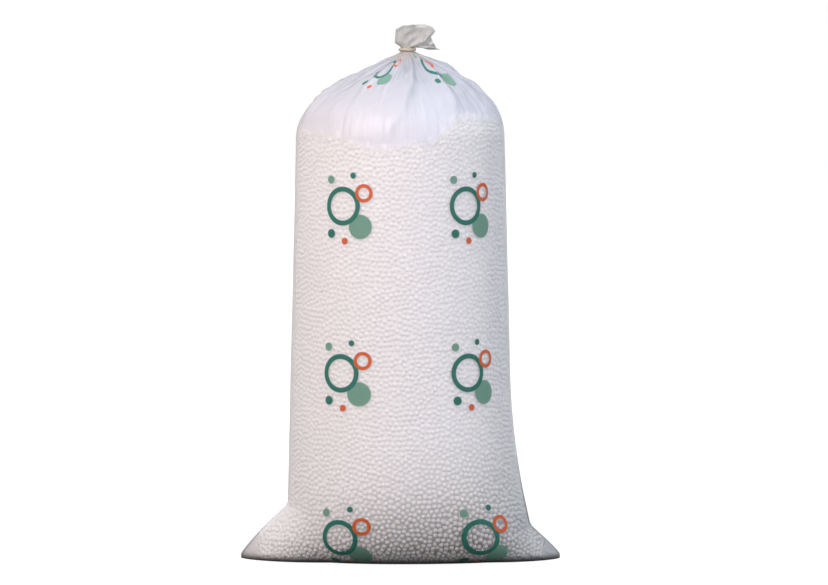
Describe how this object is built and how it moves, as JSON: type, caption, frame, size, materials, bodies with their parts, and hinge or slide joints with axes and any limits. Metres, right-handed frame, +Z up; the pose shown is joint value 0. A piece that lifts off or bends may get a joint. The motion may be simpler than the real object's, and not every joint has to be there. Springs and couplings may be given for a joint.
{
  "type": "bag of bean bag filler",
  "caption": "Tall clear film bag filled with loose white foam beads, standing on its sealed end with pointed bottom corners, its top gathered and closed with a rubber band.",
  "frame": {"origin": "on the floor, under the middle of the bag between its two bottom corners", "axes": "+Z up towards the gathered neck, +X to the right of the front view along the bottom seal, +Y to the back"},
  "size_m": [0.448, 0.286, 0.7492],
  "materials": {
    "film": "clear polyethylene film, slightly milky",
    "beads": "expanded polystyrene, matt",
    "band": "natural tan rubber"
  },
  "bodies": {
    "root": {"film_bag": "film", "bead_fill": "beads", "neck_band": "band"}
  },
  "joints": []
}
